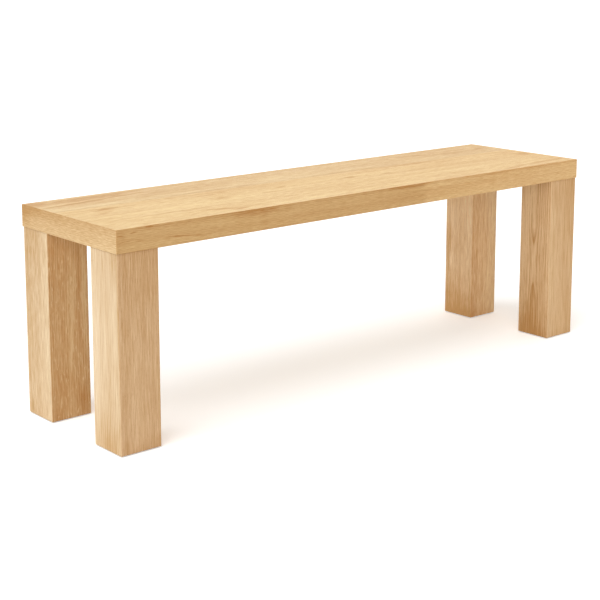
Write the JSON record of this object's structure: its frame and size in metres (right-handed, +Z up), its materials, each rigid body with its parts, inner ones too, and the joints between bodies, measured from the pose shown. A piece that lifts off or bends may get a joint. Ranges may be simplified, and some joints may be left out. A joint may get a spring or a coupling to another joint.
{
  "type": "backless bench",
  "caption": "Backless dining bench for sitting on: a thick rectangular hollow-core seat slab on square block legs set at its corners, veneered in pale oak.",
  "frame": {"origin": "on the floor, under the middle of the seat", "axes": "+X along the bench to its right end as seen from the front, -Y to the front, +Z up"},
  "size_m": [1.4, 0.365, 0.46],
  "materials": {
    "seat_top_oak": "satin",
    "edge_band_oak": "satin",
    "leg_oak": "satin",
    "underside_oak": "matte",
    "chipboard": "matte",
    "honeycomb_paper": "matte",
    "zinc_steel": "satin",
    "glide_plastic": "matte"
  },
  "bodies": {
    "root": {"seat_top_panel": "seat_top_oak", "seat_bottom_panel": "underside_oak", "seat_front_edge_band": "edge_band_oak", "seat_right_edge_band": "edge_band_oak", "seat_back_edge_band": "edge_band_oak", "seat_left_edge_band": "edge_band_oak", "seat_front_left_corner_block": "chipboard", "seat_front_right_corner_block": "chipboard", "seat_back_left_corner_block": "chipboard", "seat_back_right_corner_block": "chipboard", "seat_front_rail": "chipboard", "seat_back_rail": "chipboard", "seat_left_end_rail": "chipboard", "seat_right_end_rail": "chipboard", "seat_cross_1_rail": "chipboard", "seat_cross_2_rail": "chipboard", "seat_cross_3_rail": "chipboard", "seat_honeycomb_core_1": "honeycomb_paper", "seat_honeycomb_core_2": "honeycomb_paper", "seat_honeycomb_core_3": "honeycomb_paper", "seat_honeycomb_core_4": "honeycomb_paper", "front_left_leg_front_board": "leg_oak", "front_left_leg_right_board": "leg_oak", "front_left_leg_back_board": "leg_oak", "front_left_leg_left_board": "leg_oak", "front_left_leg_top_block": "chipboard", "front_left_leg_foot_block": "chipboard", "front_left_glide": "glide_plastic", "front_left_leg_bolt": "zinc_steel", "front_left_leg_insert": "zinc_steel", "front_right_leg_front_board": "leg_oak", "front_right_leg_right_board": "leg_oak", "front_right_leg_back_board": "leg_oak", "front_right_leg_left_board": "leg_oak", "front_right_leg_top_block": "chipboard", "front_right_leg_foot_block": "chipboard", "front_right_glide": "glide_plastic", "front_right_leg_bolt": "zinc_steel", "front_right_leg_insert": "zinc_steel", "back_left_leg_front_board": "leg_oak", "back_left_leg_right_board": "leg_oak", "back_left_leg_back_board": "leg_oak", "back_left_leg_left_board": "leg_oak", "back_left_leg_top_block": "chipboard", "back_left_leg_foot_block": "chipboard", "back_left_glide": "glide_plastic", "back_left_leg_bolt": "zinc_steel", "back_left_leg_insert": "zinc_steel", "back_right_leg_front_board": "leg_oak", "back_right_leg_right_board": "leg_oak", "back_right_leg_back_board": "leg_oak", "back_right_leg_left_board": "leg_oak", "back_right_leg_top_block": "chipboard", "back_right_leg_foot_block": "chipboard", "back_right_glide": "glide_plastic", "back_right_leg_bolt": "zinc_steel", "back_right_leg_insert": "zinc_steel"}
  },
  "joints": []
}
